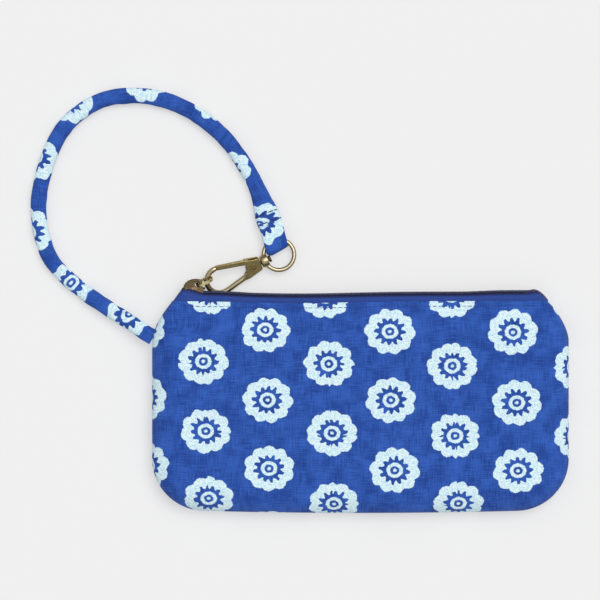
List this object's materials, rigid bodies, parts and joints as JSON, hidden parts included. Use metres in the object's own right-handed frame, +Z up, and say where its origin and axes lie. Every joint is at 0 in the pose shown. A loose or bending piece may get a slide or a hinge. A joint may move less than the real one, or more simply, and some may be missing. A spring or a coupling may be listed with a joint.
{
  "type": "zip wristlet pouch",
  "caption": "Flat zipped cotton pouch with a wrist strap sewn into one side and clipped to the zip pull by a swivel clasp.",
  "frame": {"origin": "middle of the back panel's flat face, on the surface that the pouch lies on", "axes": "+Z up out of the front panel, +Y towards the zip, +X along the zip towards its bottom stop"},
  "size_m": [0.2648, 0.2092, 0.0153],
  "materials": {
    "printed_cotton": "matte woven cotton with a white block print",
    "wadding": "soft felted wadding",
    "lining_cotton": "matte plain weave",
    "zip_tape": "woven tape",
    "zip_nylon": "satin nylon coil",
    "antique_brass": "antique brass, darkened in the recesses",
    "spring_steel": "drawn wire"
  },
  "bodies": {
    "pouch": {"back_outer_panel": "printed_cotton", "back_interlining": "wadding", "back_lining": "lining_cotton", "back_zip_tape": "zip_tape", "back_zip_coil": "zip_nylon", "back_top_stop": "antique_brass", "zip_bottom_stop": "antique_brass", "strap_seam_tab": "printed_cotton", "wrist_strap": "printed_cotton"},
    "front": {"front_outer_panel": "printed_cotton", "front_interlining": "wadding", "front_lining": "lining_cotton", "front_zip_tape": "zip_tape", "front_zip_coil": "zip_nylon", "front_top_stop": "antique_brass"},
    "slider": {"zip_slider": "antique_brass"},
    "pull_tab": {"pull_tab": "antique_brass"},
    "clasp": {"clasp_body": "antique_brass", "gate_rivet": "antique_brass", "gate_spring": "spring_steel", "swivel_pin": "antique_brass"},
    "gate": {"clasp_gate": "antique_brass"},
    "ring": {"swivel_ring": "antique_brass", "strap_ring_loop": "printed_cotton"}
  },
  "joints": [
    {"name": "mouth_open", "type": "hinge", "parent": "pouch", "child": "front", "pos_m": [0, -0.055, 0.0072], "axis": [1, 0, 0], "range_deg": [0, 12]},
    {"name": "zip_slide", "type": "slide", "parent": "pouch", "child": "slider", "axis": [1, 0, 0], "range_m": [0, 0.158], "deforming": ["front_zip_coil", "back_zip_coil", "front_zip_tape", "wrist_strap"]},
    {"name": "tab_flip", "type": "hinge", "parent": "slider", "child": "pull_tab", "pos_m": [-0.0803, 0.05735, 0.0072], "axis": [0, 0, 1], "range_deg": [0, 66]},
    {"name": "clasp_turn", "type": "hinge", "parent": "pull_tab", "child": "clasp", "pos_m": [-0.0757, 0.0595, 0.006], "axis": [0, 0, 1], "range_deg": [0, 30]},
    {"name": "gate_open", "type": "hinge", "parent": "clasp", "child": "gate", "pos_m": [-0.05277, 0.06656, 0.00388], "axis": [0.1969, -0.3753, 0.9058], "range_deg": [0, 14], "stiffness_Nm_per_rad": 0.03, "deforming": ["gate_spring"]},
    {"name": "ring_swivel", "type": "hinge", "parent": "clasp", "child": "ring", "pos_m": [-0.04012, 0.07204, 0.0034], "axis": [0.9172, 0.3969, -0.0349], "continuous": true}
  ],
  "couplings": [
    {"joint": "mouth_open", "follows": "zip_slide", "rad_per_m": 1.3255}
  ]
}
